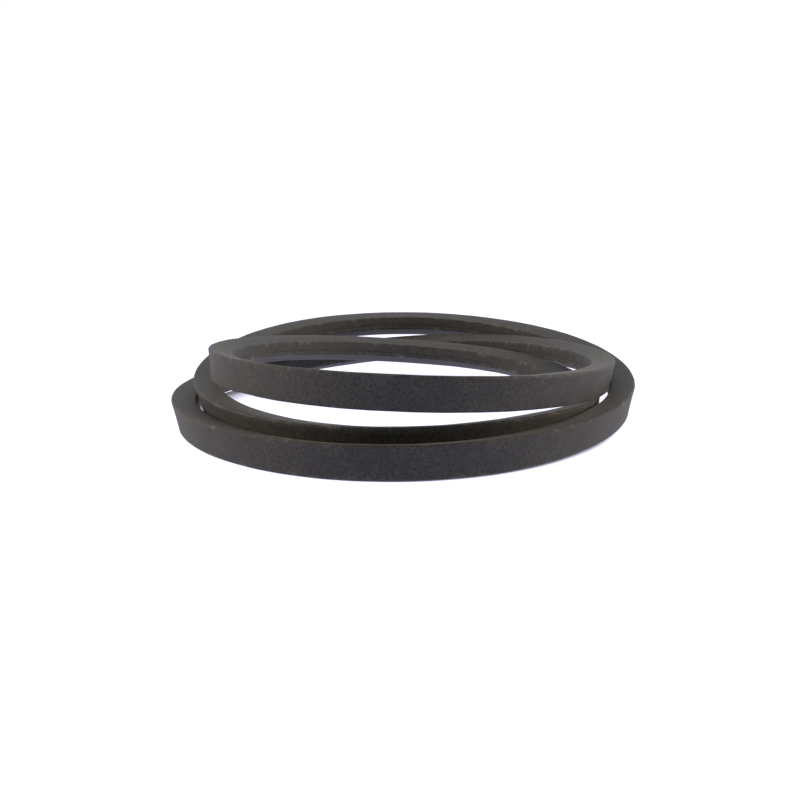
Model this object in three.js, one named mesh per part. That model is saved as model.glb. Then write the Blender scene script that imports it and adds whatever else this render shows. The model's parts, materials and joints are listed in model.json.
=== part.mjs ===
// An endless wrapped V-belt, coiled into three turns as it is stored, lying on a flat surface.
// Units are millimetres, +Z is up, and the origin is under the middle of the coil, on that surface.
//
// The belt is a laminate. From the outside in it has two plies of rubberised fabric wrapped round
// the core. In the core are a tension rubber, two endlessly wound cords bedded between two thin
// adhesion rubbers, and a compression rubber that fills the narrow side of the V.
import * as THREE from "three";

// The belt's cross-section. "Depth" is measured from the flat back towards the narrow base.
const BACK_WIDTH = 12.5;
const BELT_DEPTH = 9;
const FLANK_ANGLE = THREE.MathUtils.degToRad(20); // each flank, so the V is 40 degrees
const CORNER = 0.7; // how far the wrapped corners are cut back along each face

// The layers, in order from the back.
const CLEARANCE = 0.15; // between one layer and the next
const PLY = 0.5; // one ply of jacket fabric
const JACKET_SEAM = 0.4; // where the two edges of a ply meet
const TENSION_RUBBER = 1.2;
const ADHESION_RUBBER = 0.5;
const CORD_DIAMETER = 0.75;
const CORD_PITCH = 0.87; // from one cord to the next across the belt
const CORD_LAPS = 3; // each of the two cords goes this many times round the belt
const CORD_SIDES = 4;

// The coil. The back of the belt faces outwards all the way round.
const KNOTS_PER_TURN = 8;
const STATIONS_PER_KNOT = 4; // cross-sections from one knot to the next
const START_ANGLE = -90; // degrees: the first knot is at the front, and the belt runs anticlockwise

// The belt's route, one row for each eighth of a turn: radius to the middle of the back, height of
// the middle of the back, and tilt in degrees, which leans the top of the back outwards.
const ROUTE = [
  // bottom turn, from the front by the right to the back, where it climbs over the top turn's tail
  [80.5, 6.5, 2],
  [76.5, 7, 14],
  [87.5, 10, 9],
  [103.5, 20.5, 0],
  [108, 26.5, 12],
  [98, 23.2, 3],
  [86.5, 12, 19],
  [78, 9, 13],
  // middle turn, inside the bottom turn at the front and the lowest of the three at the right
  [70.5, 9.5, 2],
  [67.5, 10, 11],
  [75, 4.5, 2],
  [81, 11, 5],
  [79, 13.5, 10],
  [79.5, 20, 4],
  [80, 25.5, 1],
  [79.5, 28.5, 5],
  // top turn, which comes down at the back and runs out at the left into the bottom turn
  [80.5, 28.5, 2],
  [71.5, 23, 16],
  [78.5, 18.5, 10],
  [93.5, 17.5, 2],
  [96.5, 14.5, 3],
  [102.5, 6, 1],
  [96.5, 6, 15],
  [87, 6, 6],
];
const STATIONS = ROUTE.length * STATIONS_PER_KNOT;

// A uniform cubic B-spline through the route's rows. "along" runs from 0 to 24 once round the belt.
function routeValue(along, column) {
  const first = Math.floor(along);
  const t = along - first;
  const weights = [
    (1 - t) ** 3,
    3 * t ** 3 - 6 * t ** 2 + 4,
    -3 * t ** 3 + 3 * t ** 2 + 3 * t + 1,
    t ** 3,
  ];
  const row = (i) => (first + i - 1 + ROUTE.length) % ROUTE.length;
  return weights.reduce((sum, weight, i) => sum + (weight * ROUTE[row(i)][column]) / 6, 0);
}

// The middle of the belt's back at "along".
function backAt(along) {
  const angle = THREE.MathUtils.degToRad(START_ANGLE + (along * 360) / KNOTS_PER_TURN);
  const radius = routeValue(along, 0);
  return new THREE.Vector3(radius * Math.cos(angle), radius * Math.sin(angle), routeValue(along, 1));
}

// The cross-section's own axes at "along": out of the back, and up across the back's width.
function sectionAt(along) {
  const step = 0.01;
  const tangent = backAt(along + step).sub(backAt(along - step + ROUTE.length)).normalize();
  const level = new THREE.Vector3().crossVectors(tangent, new THREE.Vector3(0, 0, 1)).normalize();
  const steep = new THREE.Vector3().crossVectors(level, tangent);
  const tilt = THREE.MathUtils.degToRad(routeValue(along, 2));
  return {
    back: backAt(along),
    out: level.clone().multiplyScalar(Math.cos(tilt)).addScaledVector(steep, -Math.sin(tilt)),
    up: steep.clone().multiplyScalar(Math.cos(tilt)).addScaledVector(level, Math.sin(tilt)),
  };
}

const sections = Array.from({ length: STATIONS }, (_, i) => sectionAt(i / STATIONS_PER_KNOT));

// A body swept along the belt. outlineAt(i) gives the outline at the belt's cross-section i, as
// [depth, height] pairs, each outline with as many points as the last. A closed sweep goes once
// round the belt and meets itself, and an open one may go round several times and has two flat ends.
// The belt twists, so where an outline runs back inside itself, from the side "turnsBack" on, its
// quads are split along their other diagonal. Faces that lie against each other then bend alike.
function sweep(outlineAt, steps, closed, turnsBack = Infinity) {
  const rings = Array.from({ length: steps }, (_, i) => {
    const { back, out, up } = sections[i % STATIONS];
    return outlineAt(i).map(([depth, height]) =>
      back.clone().addScaledVector(out, -depth).addScaledVector(up, height),
    );
  });
  const sides = rings[0].length;
  const vertex = (ring, side) => (ring % steps) * sides + (side % sides);
  const triangles = [];
  for (let ring = 0; ring < (closed ? steps : steps - 1); ring += 1) {
    for (let side = 0; side < sides; side += 1) {
      const [a, b] = [vertex(ring, side), vertex(ring, side + 1)];
      const [c, d] = [vertex(ring + 1, side), vertex(ring + 1, side + 1)];
      triangles.push(...(side < turnsBack ? [a, c, b, b, c, d] : [a, c, d, a, d, b]));
    }
  }
  for (let side = 1; !closed && side < sides - 1; side += 1) {
    const last = steps - 1;
    triangles.push(vertex(0, 0), vertex(0, side), vertex(0, side + 1));
    triangles.push(vertex(last, 0), vertex(last, side + 1), vertex(last, side));
  }
  const geometry = new THREE.BufferGeometry().setFromPoints(rings.flat());
  geometry.setIndex(triangles);
  geometry.computeVertexNormals();
  return geometry;
}

// Half the width of the section at a depth below the back, "inset" in from the flanks.
const halfWidth = (depth, inset) =>
  BACK_WIDTH / 2 - depth * Math.tan(FLANK_ANGLE) - inset / Math.cos(FLANK_ANGLE);

// The four corners of the section between two depths, anticlockwise from the lower end of its base
// as seen by someone looking along the belt.
function layerOutline(top, bottom, inset) {
  return [
    [bottom, -halfWidth(bottom, inset)],
    [top, -halfWidth(top, inset)],
    [top, halfWidth(top, inset)],
    [bottom, halfWidth(bottom, inset)],
  ];
}

// The same outline with each corner cut back by the same length along both of its faces.
function cutCorners(outline, length) {
  const points = outline.map(([x, y]) => new THREE.Vector2(x, y));
  return points.flatMap((corner, i) =>
    [points.at(i - 1), points[(i + 1) % points.length]].map((next) => {
      const cut = next.clone().sub(corner).setLength(length).add(corner);
      return [cut.x, cut.y];
    }),
  );
}

// An outline opened in the middle of its base, or of its back, by the width of a jacket's seam. The
// face across from the seam has a point in its middle too, so that both plies bend alike there.
function openedOutline(outline, seamOnBack) {
  const half = outline.length / 2;
  const turned = seamOnBack ? [...outline.slice(half), ...outline.slice(0, half)] : outline;
  const [depth, height] = turned[0];
  const edge = (Math.sign(height) * JACKET_SEAM) / 2;
  const across = [turned[half][0], 0];
  return [[depth, edge], ...turned.slice(0, half), across, ...turned.slice(half), [depth, -edge]];
}

// One ply of the jacket, "inset" in from the belt's surface. Its two edges meet in a seam that runs
// along the middle of the base or of the back, so the outline goes round and comes back inside.
function jacketPly(inset, corner, seamOnBack) {
  const inside = inset + PLY;
  const outer = layerOutline(inset, BELT_DEPTH - inset, inset);
  const inner = layerOutline(inside, BELT_DEPTH - inside, inside);
  const outwards = openedOutline(corner > 0 ? cutCorners(outer, corner) : outer, seamOnBack);
  const outline = [...outwards, ...openedOutline(inner, seamOnBack).reverse()];
  return sweep(() => outline, STATIONS, true, outwards.length);
}

// A layer of the core between two depths. Its underside, the last side of its outline, is split
// like the top of the layer below.
function coreLayer(top, bottom) {
  const outline = layerOutline(top, bottom, CORE_INSET);
  return sweep(() => outline, STATIONS, true, outline.length - 1);
}

// A cord that starts beside one flank and works its way across by two pitches in each lap.
function cord(depth, startHeight) {
  const outlineAt = (i) => {
    const middle = startHeight + (2 * CORD_PITCH * i) / STATIONS;
    return Array.from({ length: CORD_SIDES }, (_, side) => {
      const angle = (-2 * Math.PI * side) / CORD_SIDES;
      const [across, over] = [Math.cos(angle), Math.sin(angle)];
      return [depth + (across * CORD_DIAMETER) / 2, middle + (over * CORD_DIAMETER) / 2];
    });
  };
  return sweep(outlineAt, CORD_LAPS * STATIONS + 1, false);
}

// Where each layer of the core lies between the inner jacket's two faces.
const CORE_INSET = 2 * (PLY + CLEARANCE);
const UPPER_ADHESION_TOP = CORE_INSET + TENSION_RUBBER + CLEARANCE;
const CORD_DEPTH = UPPER_ADHESION_TOP + ADHESION_RUBBER + CLEARANCE + CORD_DIAMETER / 2;
const LOWER_ADHESION_TOP = CORD_DEPTH + CORD_DIAMETER / 2 + CLEARANCE;
const COMPRESSION_TOP = LOWER_ADHESION_TOP + ADHESION_RUBBER + CLEARANCE;
const FIRST_CORD_HEIGHT = -(CORD_LAPS + 0.5) * CORD_PITCH;

const group = new THREE.Group();

function addPart(name, geometry, color, roughness) {
  const mesh = new THREE.Mesh(
    geometry,
    new THREE.MeshStandardMaterial({ color, roughness, metalness: 0 }),
  );
  mesh.name = name;
  group.add(mesh);
}

addPart("outer_jacket", jacketPly(0, CORNER, false), 0x3b3a3d, 0.85);
addPart("inner_jacket", jacketPly(PLY + CLEARANCE, 0, true), 0x4a4742, 0.9);
addPart("tension_rubber", coreLayer(CORE_INSET, CORE_INSET + TENSION_RUBBER), 0x1b1b1c, 0.7);
addPart(
  "upper_adhesion_rubber",
  coreLayer(UPPER_ADHESION_TOP, UPPER_ADHESION_TOP + ADHESION_RUBBER),
  0x2a2320,
  0.7,
);
addPart("s_twist_cord", cord(CORD_DEPTH, FIRST_CORD_HEIGHT), 0xd8cdb4, 0.6);
addPart("z_twist_cord", cord(CORD_DEPTH, FIRST_CORD_HEIGHT + CORD_PITCH), 0xcbbb98, 0.6);
addPart(
  "lower_adhesion_rubber",
  coreLayer(LOWER_ADHESION_TOP, LOWER_ADHESION_TOP + ADHESION_RUBBER),
  0x2a2320,
  0.7,
);
addPart("compression_rubber", coreLayer(COMPRESSION_TOP, BELT_DEPTH - CORE_INSET), 0x161617, 0.75);

// The coil rests on the surface that it lies on, with the origin under the middle of its box.
const box = new THREE.Box3().setFromObject(group);
const middle = box.getCenter(new THREE.Vector3());
group.position.set(-middle.x, -middle.y, -box.min.z);

export default group;
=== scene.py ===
"""An endless wrapped V-belt, coiled into three turns, lying on a pale studio floor. Lengths are in metres."""

import json
import math

import bpy
import numpy as np
from mathutils import Matrix, Vector


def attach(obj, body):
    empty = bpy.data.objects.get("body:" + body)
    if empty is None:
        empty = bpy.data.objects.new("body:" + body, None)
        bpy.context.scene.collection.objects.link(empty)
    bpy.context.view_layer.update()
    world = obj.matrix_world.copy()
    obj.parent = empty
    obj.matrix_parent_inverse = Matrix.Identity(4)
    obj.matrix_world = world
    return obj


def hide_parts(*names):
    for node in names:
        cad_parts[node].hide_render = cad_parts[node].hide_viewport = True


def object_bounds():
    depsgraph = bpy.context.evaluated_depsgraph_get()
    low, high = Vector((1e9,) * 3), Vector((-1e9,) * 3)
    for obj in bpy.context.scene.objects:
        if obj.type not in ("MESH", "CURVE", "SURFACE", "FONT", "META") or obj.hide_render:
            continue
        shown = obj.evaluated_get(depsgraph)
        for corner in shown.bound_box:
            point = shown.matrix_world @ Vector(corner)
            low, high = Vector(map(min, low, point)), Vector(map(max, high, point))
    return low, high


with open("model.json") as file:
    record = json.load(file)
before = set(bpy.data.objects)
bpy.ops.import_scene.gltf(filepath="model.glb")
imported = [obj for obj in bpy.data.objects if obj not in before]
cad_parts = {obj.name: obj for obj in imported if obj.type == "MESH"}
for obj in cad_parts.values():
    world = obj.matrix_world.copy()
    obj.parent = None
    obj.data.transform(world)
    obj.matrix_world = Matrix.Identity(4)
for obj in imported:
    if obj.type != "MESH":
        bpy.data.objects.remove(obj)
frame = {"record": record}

CAD_LOW, CAD_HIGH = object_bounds()
MM = 0.001

# The belt's cross-section. "Depth" is measured from the flat back towards the narrow base.
BACK_WIDTH = 12.5 * MM
BELT_DEPTH = 9 * MM
FLANK_SLOPE = math.tan(math.radians(20))

# The layers, in order from the back.
CLEARANCE = 0.15 * MM
PLY = 0.5 * MM
TENSION_RUBBER = 1.2 * MM
ADHESION_RUBBER = 0.5 * MM
CORD_DIAMETER = 0.75 * MM
CORD_PITCH = 0.87 * MM
CORD_LAPS = 3

CORE_INSET = 2 * (PLY + CLEARANCE)
UPPER_ADHESION_TOP = CORE_INSET + TENSION_RUBBER + CLEARANCE
CORD_DEPTH = UPPER_ADHESION_TOP + ADHESION_RUBBER + CLEARANCE + CORD_DIAMETER / 2
LOWER_ADHESION_TOP = CORD_DEPTH + CORD_DIAMETER / 2 + CLEARANCE
COMPRESSION_TOP = LOWER_ADHESION_TOP + ADHESION_RUBBER + CLEARANCE

# The jacket's fabric and the cords' twist.
THREAD = 0.55 * MM  # from one thread of the fabric to the next
STRANDS = 3  # in each cord
STRAND_DIP = 0.08  # of the cord's radius, between two strands
TWISTS_PER_LAP = 200
CORD_SIDES = 9

# How finely the pieces are made: cross-sections in each lap of the belt.
RINGS = 1152  # of the outer ply
CORE_RINGS = 480
CORD_RINGS = 1536

# The coil: the first knot is at the front, and the belt runs anticlockwise from there.
KNOTS_PER_TURN = 8
START_ANGLE = math.radians(-90)

# The belt's route, one row for each eighth of a turn: radius to the middle of the back, height of
# the middle of the back, and tilt in degrees, which leans the top of the back outwards.
ROUTE = np.array([
    # bottom turn, from the front by the right to the back, where it climbs over the top turn's tail
    [0.0805, 0.0065, 2],
    [0.0765, 0.007, 14],
    [0.0875, 0.010, 9],
    [0.1035, 0.0205, 0],
    [0.108, 0.0265, 12],
    [0.098, 0.0232, 3],
    [0.0865, 0.012, 19],
    [0.078, 0.009, 13],
    # middle turn, inside the bottom turn at the front and the lowest of the three at the right
    [0.0705, 0.0095, 2],
    [0.0675, 0.010, 11],
    [0.075, 0.0045, 2],
    [0.081, 0.011, 5],
    [0.079, 0.0135, 10],
    [0.0795, 0.020, 4],
    [0.080, 0.0255, 1],
    [0.0795, 0.0285, 5],
    # top turn, which comes down at the back and runs out at the left into the bottom turn
    [0.0805, 0.0285, 2],
    [0.0715, 0.023, 16],
    [0.0785, 0.0185, 10],
    [0.0935, 0.0175, 2],
    [0.0965, 0.0145, 3],
    [0.1025, 0.006, 1],
    [0.0965, 0.006, 15],
    [0.087, 0.006, 6],
])
KNOTS = len(ROUTE)


def route_at(along):
    """The route's rows at each value of along, which runs from 0 to KNOTS: a uniform cubic B-spline."""
    first = np.floor(along).astype(int)
    t = along - first
    weights = [(1 - t) ** 3, 3 * t**3 - 6 * t**2 + 4, -3 * t**3 + 3 * t**2 + 3 * t + 1, t**3]
    return sum(w[:, None] * ROUTE[(first + i - 1) % KNOTS] for i, w in enumerate(weights)) / 6


def back_at(along):
    """The middle of the belt's back."""
    radius, height, _ = route_at(along).T
    angle = START_ANGLE + along * 2 * math.pi / KNOTS_PER_TURN
    return np.stack([radius * np.cos(angle), radius * np.sin(angle), height], axis=1)


def unit(vectors):
    return vectors / np.linalg.norm(vectors, axis=1)[:, None]


def sections(count, laps=1):
    """Cross-sections evenly spaced along the belt: the middle of the back, and the directions out of
    the back and up across its width."""
    along = np.arange(count * laps) * KNOTS / count
    step = 0.01
    tangent = unit(back_at(along + step) - back_at(along - step))
    level = unit(np.cross(tangent, [0, 0, 1]))
    steep = np.cross(level, tangent)
    tilt = np.radians(route_at(along)[:, 2:])
    out = level * np.cos(tilt) - steep * np.sin(tilt)
    up = steep * np.cos(tilt) + level * np.sin(tilt)
    return back_at(along), out, up


# ---------------------------------------------------------------- outlines


def half_width(depth, inset=0.0):
    """Half the width of the section at a depth, inset in from the flanks."""
    return BACK_WIDTH / 2 - depth * FLANK_SLOPE - inset * math.hypot(1, FLANK_SLOPE)


def trapezium(top, bottom, inset):
    """The corners of the section between two depths, as (depth, height) rows."""
    return np.array([
        [bottom, -half_width(bottom, inset)],
        [top, -half_width(top, inset)],
        [top, half_width(top, inset)],
        [bottom, half_width(bottom, inset)],
    ])


def rounded(before, corner, after, radius, steps):
    """The points of an arc of that radius that rounds a corner between two straight faces."""
    a, b = (before - corner), (after - corner)
    a, b = a / np.linalg.norm(a), b / np.linalg.norm(b)
    half = math.acos(np.clip(a @ b, -1, 1)) / 2
    bisector = (a + b) / np.linalg.norm(a + b)
    centre = corner + bisector * radius / math.sin(half)
    start, end = corner + a * radius / math.tan(half), corner + b * radius / math.tan(half)
    turn = math.pi - 2 * half
    share = np.linspace(0, 1, steps + 1)[:, None]
    from_centre = (np.sin((1 - share) * turn) * (start - centre) + np.sin(share * turn) * (end - centre))
    return centre + from_centre / math.sin(turn)


def joined(stretches, spacing):
    """One line of points through several stretches of points, filled in so that none is further
    than spacing from the next."""
    points = np.concatenate(stretches)
    line = [points[:1]]
    for a, b in zip(points[:-1], points[1:]):
        steps = max(1, math.ceil(np.linalg.norm(b - a) / spacing))
        line.append(a + (b - a) * np.linspace(0, 1, steps + 1)[1:, None])
    return np.concatenate(line)


def rounded_outline(corners, radius, steps, spacing):
    """A closed outline with every corner rounded."""
    arcs = [
        rounded(corners[i - 1], corners[i], corners[(i + 1) % len(corners)], radius, steps)
        for i in range(len(corners))
    ]
    return joined([*arcs, arcs[0][:1]], spacing)[:-1]


CORNER_RADIUS = 0.75 * MM
INNER_CORNER_RADIUS = 0.3 * MM
INNER_SEAM = 0.15 * MM  # between the inner ply's edges
LAYER_CORNER_RADIUS = 0.18 * MM
LAP_REACH = 1.1 * MM  # how far each edge of the outer ply passes the middle of the base
LAP_PROUD = 0.05 * MM  # how far the upper edge stands proud where it lies over the lower one
LAP_UNDER = 0.22 * MM  # the lower edge is pressed this thin
LAP_GAP = 0.04 * MM
LAP_RAMP = 0.8 * MM  # where a ply rises over, or sinks under, the other


def outer_ply_outline():
    """The outer ply, as its outside and its inside. It wraps right round and laps over itself in the
    middle of the base: its upper edge lies over its lower edge, which is tucked in below."""
    outer = trapezium(0, BELT_DEPTH, 0)
    inner = trapezium(PLY, BELT_DEPTH - PLY, PLY)
    arcs = [rounded(outer[i - 1], outer[i], outer[(i + 1) % 4], CORNER_RADIUS, 6) for i in range(4)]
    skin = BELT_DEPTH - PLY
    tucked = skin + LAP_UNDER
    over = tucked + LAP_GAP
    lower_edge = [[BELT_DEPTH - LAP_PROUD, -LAP_REACH], [BELT_DEPTH, -LAP_REACH - LAP_RAMP / 2]]
    upper_edge = [
        [BELT_DEPTH, LAP_REACH + LAP_RAMP],
        [BELT_DEPTH + LAP_PROUD, LAP_REACH],
        [BELT_DEPTH + LAP_PROUD, -LAP_REACH + 0.2 * MM],
        [BELT_DEPTH + LAP_PROUD / 2, -LAP_REACH + 0.12 * MM],
    ]
    outside = joined([lower_edge, *arcs, upper_edge], 1.0 * MM)
    underside = [[over, -LAP_REACH + 0.15 * MM], [over, LAP_REACH + LAP_GAP], [skin, LAP_REACH + LAP_RAMP]]
    tucked_edge = [[skin, LAP_REACH], [tucked, LAP_REACH - LAP_GAP], [tucked, -LAP_REACH + 0.1 * MM]]
    inside = joined([underside, inner[::-1], tucked_edge], 2.4 * MM)
    return outside, inside


def inner_ply_outline():
    """The inner ply, whose edges meet along the middle of the back."""
    skin = PLY + CLEARANCE
    outer = trapezium(skin, BELT_DEPTH - skin, skin)
    inner = trapezium(skin + PLY, BELT_DEPTH - skin - PLY, skin + PLY)
    order = [2, 3, 0, 1]
    arcs = [rounded(outer[i - 1], outer[i], outer[(i + 1) % 4], INNER_CORNER_RADIUS, 3) for i in order]
    outside = [[[skin, INNER_SEAM / 2]], *arcs, [[skin, -INNER_SEAM / 2]]]
    inside = [[[skin + PLY, -INNER_SEAM / 2]], inner[order[::-1]], [[skin + PLY, INNER_SEAM / 2]]]
    return joined([*outside, *inside], 2.5 * MM)


# ---------------------------------------------------------------- meshes


def sweep(name, belt, rings_of, closed=True):
    """A mesh through one ring of points at each of the belt's cross-sections. rings_of has a
    (depth, height) row for each point of each ring, or of every ring alike."""
    back, out, up = belt
    count = len(back)
    rings_of = np.broadcast_to(rings_of, (count, *rings_of.shape[-2:]))
    points = back[:, None] - rings_of[..., :1] * out[:, None] + rings_of[..., 1:] * up[:, None]
    sides = points.shape[1]
    ring, side = np.meshgrid(np.arange(count if closed else count - 1), np.arange(sides), indexing="ij")
    ahead, beside = (ring + 1) % count, (side + 1) % sides
    quads = np.stack([ring * sides + side, ahead * sides + side,
                      ahead * sides + beside, ring * sides + beside], axis=-1).reshape(-1, 4)
    faces = quads.tolist()
    if not closed:
        faces.append(list(range(sides)))
        faces.append(list(range(count * sides - 1, (count - 1) * sides - 1, -1)))
    mesh = bpy.data.meshes.new(name)
    mesh.from_pydata(points.reshape(-1, 3).tolist(), [], faces)
    mesh.shade_smooth()
    mesh.set_sharp_from_angle(angle=math.radians(50))
    piece = bpy.data.objects.new(name, mesh)
    bpy.context.scene.collection.objects.link(piece)
    return piece


def distances(points, closing=True):
    """How far each point is from the first one, going along them, with the whole length last."""
    steps = np.linalg.norm(np.roll(points, -1, axis=0) - points, axis=1)
    return np.concatenate([[0], np.cumsum(steps if closing else steps[:-1])])


def lay_out(piece, belt, outline):
    """UVs in metres over the belt laid out flat: along its length, then round its section. The length
    is stretched by a hair, so that it holds a whole number of the fabric's threads."""
    length = distances(belt[0])
    length *= math.ceil(length[-1] / THREAD) * THREAD / length[-1]
    around = distances(outline)
    ring, side = np.meshgrid(np.arange(len(length) - 1), np.arange(len(outline)), indexing="ij")
    corners = [(ring, side), (ring + 1, side), (ring + 1, side + 1), (ring, side + 1)]
    uv = np.stack([np.stack([length[r], around[s]], axis=-1) for r, s in corners], axis=2)
    layer = piece.data.uv_layers.new(name="belt")
    layer.uv.foreach_set("vector", uv.reshape(-1).astype(np.float32))


def bump_between(value, low, high, ramp):
    """1 between low and high, 0 outside, with a smooth ramp at each end."""
    rise = np.clip((value - low) / ramp + 0.5, 0, 1)
    fall = np.clip((high - value) / ramp + 0.5, 0, 1)
    return rise * rise * (3 - 2 * rise) * fall * fall * (3 - 2 * fall)


SPLICES = [(0.24, 0.7), (0.61, -0.7)]  # where along the belt, and the slant across it
SPLICE_WIDTH = 11 * MM
SPLICE_HEIGHT = 0.09 * MM
SPLICE_RAMP = 1.6 * MM
CROWN = 0.12 * MM
HOLLOW = 0.10 * MM
# The moulding's waves: how many in a lap, their slant round the section in radians per metre, and
# their height.
WAVES = [(7, 90, 0.035 * MM), (23, -160, 0.03 * MM), (61, 240, 0.02 * MM), (140, -420, 0.012 * MM)]


def relief(belt, outside):
    """How far the outer ply's outside stands out from its plain outline, at each cross-section and
    point: a crowned back, slightly hollow flanks, the moulding's slow waves, and the slanting
    splices between lengths of fabric."""
    depth, height = outside.T
    back = depth < 0.3 * MM
    flank = (depth > CORNER_RADIUS) & (depth < BELT_DEPTH - CORNER_RADIUS)
    crown = np.where(back, CROWN * np.clip(1 - (height / half_width(0)) ** 2, 0, 1), 0)
    middle = BELT_DEPTH / 2
    hollow = np.where(flank, -HOLLOW * (1 - ((depth - middle) / (middle - CORNER_RADIUS)) ** 2), 0)
    length = distances(belt[0])
    share = (length[:-1] / length[-1])[:, None]
    around = distances(outside, closing=False)
    around = around[None, :] - around[-1] / 2
    waves = 0
    for count, slant, size in WAVES:
        waves = waves + size * np.sin(2 * math.pi * count * share + slant * around)
    splices = 0
    for place, slant in SPLICES:
        from_splice = (share - place) * length[-1] - slant * around
        splices = splices + SPLICE_HEIGHT * bump_between(
            from_splice, -SPLICE_WIDTH / 2, SPLICE_WIDTH / 2, SPLICE_RAMP
        )
    return crown + hollow + waves + splices


def outline_normals(points):
    """Which way is out at each point of an open stretch of outline."""
    along = np.gradient(points, axis=0)
    along /= np.linalg.norm(along, axis=1)[:, None]
    return np.stack([along[:, 1], -along[:, 0]], axis=1)


EDGE_WEAR_AND_HIGHLIGHT_REACH = 1.1 * MM  # how far the lighter edge colour spreads from the section's corners; it is part abrasion and part painted highlight


def outer_jacket():
    belt = sections(RINGS)
    outside, inside = outer_ply_outline()
    raised = outside + relief(belt, outside)[..., None] * outline_normals(outside)
    still = np.broadcast_to(inside, (RINGS, *inside.shape))
    piece = sweep("wrapped_outer_jacket", belt, np.concatenate([raised, still], axis=1))
    outline = np.concatenate([outside, inside])
    lay_out(piece, belt, outline)
    # The section's corners are painted lighter: partly abrasion of the fabric, partly painted highlight where
    # the corners catch the light.
    corners = trapezium(0, BELT_DEPTH, 0)
    reach = np.linalg.norm(outline[:, None] - corners[None], axis=2).min(axis=1)
    edge_wear_and_highlight = np.exp(-((reach / EDGE_WEAR_AND_HIGHLIGHT_REACH) ** 2))
    edge_wear_and_highlight[len(outside):] = 0
    edge = piece.data.attributes.new("edge", "FLOAT", "POINT")
    edge.data.foreach_set("value", np.tile(edge_wear_and_highlight, RINGS).astype(np.float32))
    return piece


def inner_jacket():
    belt = sections(CORE_RINGS)
    outline = inner_ply_outline()
    piece = sweep("inner_jacket_ply", belt, outline)
    lay_out(piece, belt, outline)
    return piece


def core_layer(name, top, bottom):
    outline = rounded_outline(trapezium(top, bottom, CORE_INSET), LAYER_CORNER_RADIUS, 3, 2.5 * MM)
    belt = sections(CORE_RINGS)
    piece = sweep(name, belt, outline)
    lay_out(piece, belt, outline)
    return piece


def cord(name, start_height, turn):
    """A cord of three strands twisted together, which works its way across the belt by two pitches
    in each lap. turn is 1 for one hand of twist and -1 for the other."""
    count = CORD_RINGS * CORD_LAPS
    lap = np.arange(count)[:, None] / CORD_RINGS
    angle = -np.linspace(0, 2 * math.pi, CORD_SIDES, endpoint=False)[None, :]
    twist = turn * 2 * math.pi * lap * TWISTS_PER_LAP
    radius = CORD_DIAMETER / 2 * (1 - STRAND_DIP + STRAND_DIP * np.cos(STRANDS * angle + twist))
    depth = CORD_DEPTH + radius * np.cos(angle)
    height = start_height + 2 * CORD_PITCH * lap + radius * np.sin(angle)
    return sweep(name, sections(CORD_RINGS, CORD_LAPS), np.stack([depth, height], axis=-1), closed=False)


# ---------------------------------------------------------------- materials


class Shader:
    """A material's nodes, written as expressions."""

    def __init__(self, name):
        self.material = bpy.data.materials.new(name)
        self.material.use_nodes = True
        self.nodes = self.material.node_tree.nodes
        self.links = self.material.node_tree.links
        self.surface = self.nodes["Principled BSDF"]

    def put(self, socket, value):
        if isinstance(value, bpy.types.NodeSocket):
            self.links.new(value, socket)
        else:
            socket.default_value = value

    def math(self, operation, *values):
        node = self.nodes.new("ShaderNodeMath")
        node.operation = operation
        for socket, value in zip(node.inputs, values):
            self.put(socket, value)
        return node.outputs[0]

    def ramp(self, value, low, high, start=0.0, end=1.0):
        node = self.nodes.new("ShaderNodeMapRange")
        node.interpolation_type = "SMOOTHSTEP"
        for name, setting in [("Value", value), ("From Min", low), ("From Max", high),
                              ("To Min", start), ("To Max", end)]:
            self.put(node.inputs[name], setting)
        return node.outputs["Result"]

    def mix(self, share, one, other):
        node = self.nodes.new("ShaderNodeMix")
        node.data_type = "RGBA"
        for name, value in [("Factor_Float", share), ("A_Color", one), ("B_Color", other)]:
            socket = next(s for s in node.inputs if s.identifier == name)
            self.put(socket, (*value, 1) if isinstance(value, tuple) else value)
        return next(s for s in node.outputs if s.identifier == "Result_Color")

    def place(self):
        return self.nodes.new("ShaderNodeTexCoord").outputs["Object"]

    def noise(self, size, detail=3.0, roughness=0.55, place=None):
        """Noise from 0 to 1 whose lumps are about size metres across."""
        node = self.nodes.new("ShaderNodeTexNoise")
        self.put(node.inputs["Vector"], place or self.place())
        node.inputs["Scale"].default_value = 1 / size
        node.inputs["Detail"].default_value = detail
        node.inputs["Roughness"].default_value = roughness
        return node.outputs["Fac"]

    def belt_map(self):
        """The length along the belt, and the way round its section, in metres."""
        node = self.nodes.new("ShaderNodeUVMap")
        node.uv_map = "belt"
        parts = self.nodes.new("ShaderNodeSeparateXYZ")
        self.links.new(node.outputs["UV"], parts.inputs[0])
        return node.outputs["UV"], parts.outputs["X"], parts.outputs["Y"]

    def bump(self, height, distance, strength):
        node = self.nodes.new("ShaderNodeBump")
        self.put(node.inputs["Height"], height)
        node.inputs["Distance"].default_value = distance
        node.inputs["Strength"].default_value = strength
        self.links.new(node.outputs["Normal"], self.surface.inputs["Normal"])

    def set(self, **values):
        for name, value in values.items():
            socket = self.surface.inputs[name.replace("_", " ")]
            self.put(socket, (*value, 1) if isinstance(value, tuple) else value)


def weave(shader):
    """The fabric's threads, which cross at 45 degrees to the belt: their height from 0 to 1, and
    which of the two threads is on top, as -1 to 1."""
    _, length, around = shader.belt_map()
    wave = math.pi / THREAD
    warp = shader.math("SINE", shader.math("MULTIPLY", shader.math("ADD", length, around), wave))
    weft = shader.math("SINE", shader.math("MULTIPLY", shader.math("SUBTRACT", length, around), wave))
    over = shader.math("MULTIPLY", warp, weft)
    return shader.math("POWER", shader.math("ABSOLUTE", over), 0.5), over


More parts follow.
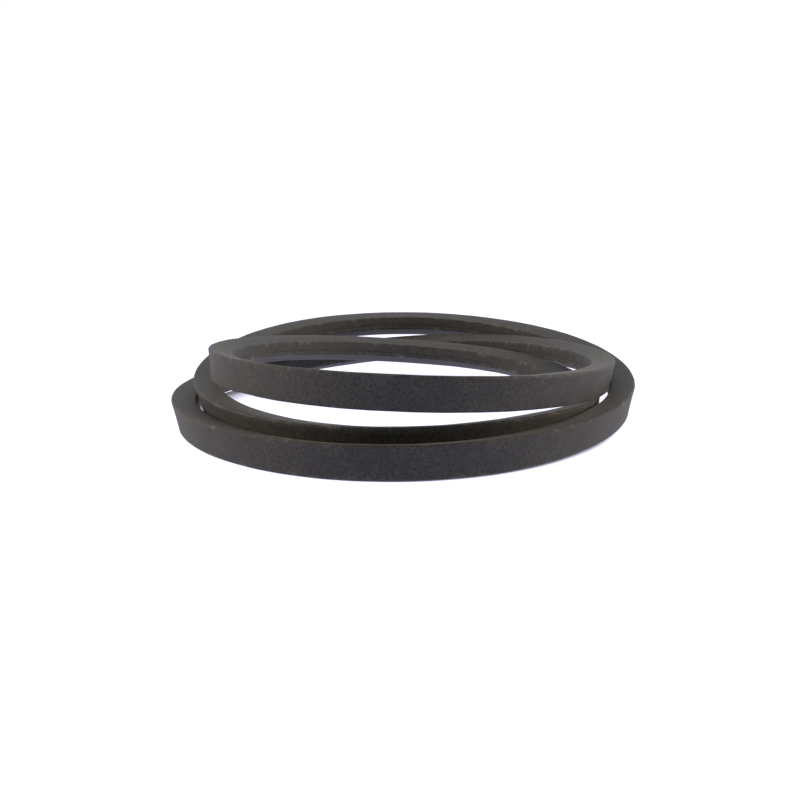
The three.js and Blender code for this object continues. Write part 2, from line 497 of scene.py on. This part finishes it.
def jacket_material(name, colour, rubbed_colour, has_worn_and_highlit_edges):
    """Rubberised fabric: threads that show through a skin of rubber, duller and greyer where rubbing has
    dulled it. has_worn_and_highlit_edges says whether the piece's corners get a lighter colour, part abrasion
    and part painted highlight along the edges."""
    shader = Shader(name)
    threads, over = weave(shader)
    blotch = shader.noise(9 * MM, detail=4)
    mottle = shader.noise(0.9 * MM, detail=4)
    grit = shader.noise(0.22 * MM, detail=2)
    dusty = shader.math("MULTIPLY", shader.ramp(blotch, 0.42, 0.7), shader.ramp(mottle, 0.35, 0.7))
    dark = tuple(c * 0.3 for c in colour)
    paint = shader.mix(shader.ramp(mottle, 0.25, 0.75), dark, colour)
    paint = shader.mix(shader.math("MULTIPLY", dusty, 0.5), paint, rubbed_colour)
    thread_shade = shader.ramp(over, -0.8, 0.8, 0.0, 0.4)
    paint = shader.mix(thread_shade, paint, dark)
    if has_worn_and_highlit_edges:
        # Lighter patches on the corners: part abrasion of the fabric, part painted highlight along the edges.
        edge = shader.nodes.new("ShaderNodeAttribute")
        edge.attribute_name = "edge"
        scuffs_and_glints = shader.ramp(shader.noise(4 * MM, detail=5, roughness=0.7), 0.5, 0.72)
        wear_and_highlight = shader.math("MULTIPLY", edge.outputs["Fac"], scuffs_and_glints)
        paint = shader.mix(shader.math("MULTIPLY", wear_and_highlight, 0.6), paint, WORN_AND_HIGHLIGHT_EDGE_COLOUR)
    shader.set(Base_Color=paint)
    shader.set(Roughness=shader.ramp(mottle, 0.3, 0.75, 0.62, 0.84))
    shader.set(Sheen_Weight=0.04, Sheen_Roughness=0.45, Specular_IOR_Level=0.25)
    filled = shader.ramp(blotch, 0.3, 0.62, 0.35, 1.0)
    height = shader.math("MULTIPLY", threads, filled)
    height = shader.math("ADD", height, shader.math("MULTIPLY", mottle, 0.9))
    height = shader.math("ADD", height, shader.math("MULTIPLY", grit, 0.35))
    shader.bump(height, 0.05 * MM, 0.7)
    return shader.material


def rubber_material(name, colour):
    """Moulded rubber, with the faint streaks of a calendered sheet along its length."""
    shader = Shader(name)
    uv, _, _ = shader.belt_map()
    stretch = shader.nodes.new("ShaderNodeMapping")
    stretch.inputs["Scale"].default_value = (0.08, 1, 1)
    shader.links.new(uv, stretch.inputs["Vector"])
    streaks = shader.noise(0.5 * MM, detail=4, place=stretch.outputs["Vector"])
    grain = shader.noise(0.3 * MM)
    lighter = tuple(min(1, c * 2.2) for c in colour)
    shader.set(Base_Color=shader.mix(shader.ramp(streaks, 0.4, 0.75), colour, lighter))
    shader.set(Roughness=shader.ramp(grain, 0.3, 0.7, 0.55, 0.75), Specular_IOR_Level=0.45)
    shader.bump(shader.math("ADD", streaks, grain), 0.04 * MM, 0.5)
    return shader.material


def cord_material(name, colour):
    """Treated polyester strands: dull cream, darker where the adhesive has soaked in."""
    shader = Shader(name)
    soaked = shader.ramp(shader.noise(2.5 * MM, detail=4), 0.4, 0.7)
    fibres = shader.noise(0.08 * MM)
    darker = tuple(c * 0.5 for c in colour)
    shader.set(Base_Color=shader.mix(soaked, colour, darker))
    shader.set(Roughness=shader.ramp(fibres, 0.3, 0.7, 0.5, 0.75), Sheen_Weight=0.3)
    shader.bump(fibres, 0.03 * MM, 0.6)
    return shader.material


# ---------------------------------------------------------------- the belt

COLOURS = {m["slot"]: tuple(m["base_color"][:3]) for m in frame["record"]["materials"]}
RUBBED_COLOUR = (0.070, 0.066, 0.061)
# The lighter corner colour: part abraded fabric, part painted highlight.
WORN_AND_HIGHLIGHT_EDGE_COLOUR = (0.16, 0.155, 0.145)


def belt_pieces():
    """Each piece, with the CAD node it stands for, which is one of the same layer."""
    first_cord = -(CORD_LAPS + 0.5) * CORD_PITCH
    upper_adhesion = UPPER_ADHESION_TOP, UPPER_ADHESION_TOP + ADHESION_RUBBER
    lower_adhesion = LOWER_ADHESION_TOP, LOWER_ADHESION_TOP + ADHESION_RUBBER
    return {
        "outer_jacket": outer_jacket(),
        "inner_jacket": inner_jacket(),
        "tension_rubber": core_layer("moulded_tension_rubber", CORE_INSET, CORE_INSET + TENSION_RUBBER),
        "upper_adhesion_rubber": core_layer("moulded_upper_adhesion_rubber", *upper_adhesion),
        "s_twist_cord": cord("wound_s_twist_cord", first_cord, 1),
        "z_twist_cord": cord("wound_z_twist_cord", first_cord + CORD_PITCH, -1),
        "lower_adhesion_rubber": core_layer("moulded_lower_adhesion_rubber", *lower_adhesion),
        "compression_rubber": core_layer("moulded_compression_rubber", COMPRESSION_TOP,
                                         BELT_DEPTH - CORE_INSET),
    }


def piece_materials():
    return {
        "outer_jacket": jacket_material(
            "outer_jacket_fabric", COLOURS["outer_jacket"], RUBBED_COLOUR, has_worn_and_highlit_edges=True
        ),
        "inner_jacket": jacket_material(
            "inner_jacket_fabric", COLOURS["inner_jacket"], RUBBED_COLOUR, has_worn_and_highlit_edges=False
        ),
        "tension_rubber": rubber_material("tension_rubber_stock", COLOURS["tension_rubber"]),
        "adhesion_rubber": rubber_material("adhesion_rubber_stock", COLOURS["adhesion_rubber"]),
        "tension_cord": cord_material("tension_cord_yarn", COLOURS["tension_cord"]),
        "compression_rubber": rubber_material("compression_rubber_stock", COLOURS["compression_rubber"]),
    }


def mesh_box(piece):
    points = np.array([v.co for v in piece.data.vertices])
    return points.min(axis=0), points.max(axis=0)


slots = {s["node"]: s["material_slot"] for s in frame["record"]["subparts"]}
materials = piece_materials()
belt_by_node = belt_pieces()

# The coil stands where the CAD's does: its box has the same middle, and lies on the same surface.
low, high = mesh_box(belt_by_node["outer_jacket"])
cad_middle = (CAD_LOW + CAD_HIGH) / 2
coil_centre = Vector((cad_middle.x - (low[0] + high[0]) / 2, cad_middle.y - (low[1] + high[1]) / 2,
                      CAD_LOW.z - low[2]))

for node, piece in belt_by_node.items():
    piece.data.transform(Matrix.Translation(coil_centre))
    piece.data.materials.append(materials[slots[node]])
    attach(piece, "root")
    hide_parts(node)


# ---------------------------------------------------------------- the studio


def floor():
    """A pale seamless floor that glows as white paper under studio light does, with painted shade: the glow
    is turned down where the belt closes in around it, as in the narrow gaps between the turns."""
    bpy.ops.mesh.primitive_circle_add(
        vertices=128, radius=FLOOR_RADIUS, fill_type="NGON", location=(0, 0, 0)
    )
    disc = bpy.context.object
    disc.name = "studio_floor"
    shader = Shader("pale_paper")
    paper = shader.mix(shader.noise(0.02), (0.13, 0.13, 0.13), (0.17, 0.17, 0.17))
    # Painted shade: an ambient-occlusion mask turns the floor's glow down close to the belt, darkening the
    # gaps between the turns.
    painted_floor_shade = shader.nodes.new("ShaderNodeAmbientOcclusion")
    painted_floor_shade.inputs["Distance"].default_value = NOOK_REACH
    shader.set(Base_Color=paper, Roughness=0.9, Specular_IOR_Level=0.1)
    shader.set(Emission_Color=FLOOR_TINT)
    shader.set(Emission_Strength=shader.ramp(painted_floor_shade.outputs["AO"], 0.08, 0.26, 0.02, FLOOR_GLOW))
    disc.data.materials.append(shader.material)


def softbox(name, place, size, power, colour):
    """A soft light that faces the middle of the coil."""
    light = bpy.data.lights.new(name, "AREA")
    light.shape = "RECTANGLE"
    light.size, light.size_y = size
    light.energy = power
    light.color = colour
    lamp = bpy.data.objects.new(name, light)
    lamp.location = place
    lamp.rotation_euler = (COIL_MIDDLE - Vector(place)).to_track_quat("-Z", "Y").to_euler()
    bpy.context.scene.collection.objects.link(lamp)


def surroundings():
    """A room with a white wall behind the coil and a dim, cooler side in front of it. The camera sees
    plain white."""
    world = bpy.data.worlds.new("studio")
    world.use_nodes = True
    nodes, links = world.node_tree.nodes, world.node_tree.links
    nodes.clear()
    direction = nodes.new("ShaderNodeTexCoord")
    parts = nodes.new("ShaderNodeSeparateXYZ")
    fade = nodes.new("ShaderNodeMapRange")
    fade.interpolation_type = "SMOOTHSTEP"
    fade.inputs["From Min"].default_value = -0.3
    fade.inputs["From Max"].default_value = 1.0
    walls = nodes.new("ShaderNodeMixRGB")
    walls.inputs["Color1"].default_value = (*FRONT_LIGHT, 1)
    walls.inputs["Color2"].default_value = (*BACK_LIGHT, 1)
    seen = nodes.new("ShaderNodeLightPath")
    pick = nodes.new("ShaderNodeMixRGB")
    pick.inputs["Color2"].default_value = (1, 1, 1, 1)
    room = nodes.new("ShaderNodeBackground")
    output = nodes.new("ShaderNodeOutputWorld")
    links.new(direction.outputs["Generated"], parts.inputs[0])
    links.new(parts.outputs["Y"], fade.inputs["Value"])
    links.new(fade.outputs["Result"], walls.inputs["Fac"])
    links.new(seen.outputs["Is Camera Ray"], pick.inputs["Fac"])
    links.new(walls.outputs["Color"], pick.inputs["Color1"])
    links.new(pick.outputs["Color"], room.inputs["Color"])
    links.new(room.outputs[0], output.inputs["Surface"])
    bpy.context.scene.world = world


FLOOR_RADIUS = 6
FLOOR_GLOW = 0.95
FLOOR_TINT = (1.0, 0.99, 1.25)
NOOK_REACH = 0.05  # how near the belt has to be to shade the floor
FRONT_LIGHT = (0.005, 0.01, 0.035)
BACK_LIGHT = (1.1, 1.15, 1.25)
COIL_MIDDLE = Vector((0, 0, 0.015))
WARM = (1.0, 0.88, 0.66)
COOL = (0.90, 0.94, 1.0)

floor()
surroundings()
softbox("left_softbox", (-0.75, -0.15, 0.35), (0.6, 0.5), 9, WARM)
softbox("right_softbox", (0.75, -0.10, 0.35), (0.6, 0.5), 9, WARM)
softbox("top_softbox", (0, 0.35, 0.9), (0.9, 0.6), 3, COOL)

# The camera, placed from the coil's own centre.
CAMERA_FROM_COIL = Vector((-0.0055, -0.305, 0.079))
CAMERA_DIP = math.radians(13.2)
camera = bpy.data.objects.new("camera", bpy.data.cameras.new("camera"))
camera.data.lens = 34.6
camera.data.sensor_width = 36
camera.data.clip_start = 0.01
camera.location = coil_centre + CAMERA_FROM_COIL
camera.rotation_euler = (math.pi / 2 - CAMERA_DIP, 0, 0)
bpy.context.scene.collection.objects.link(camera)
bpy.context.scene.camera = camera
bpy.context.scene.view_settings.view_transform = "Standard"
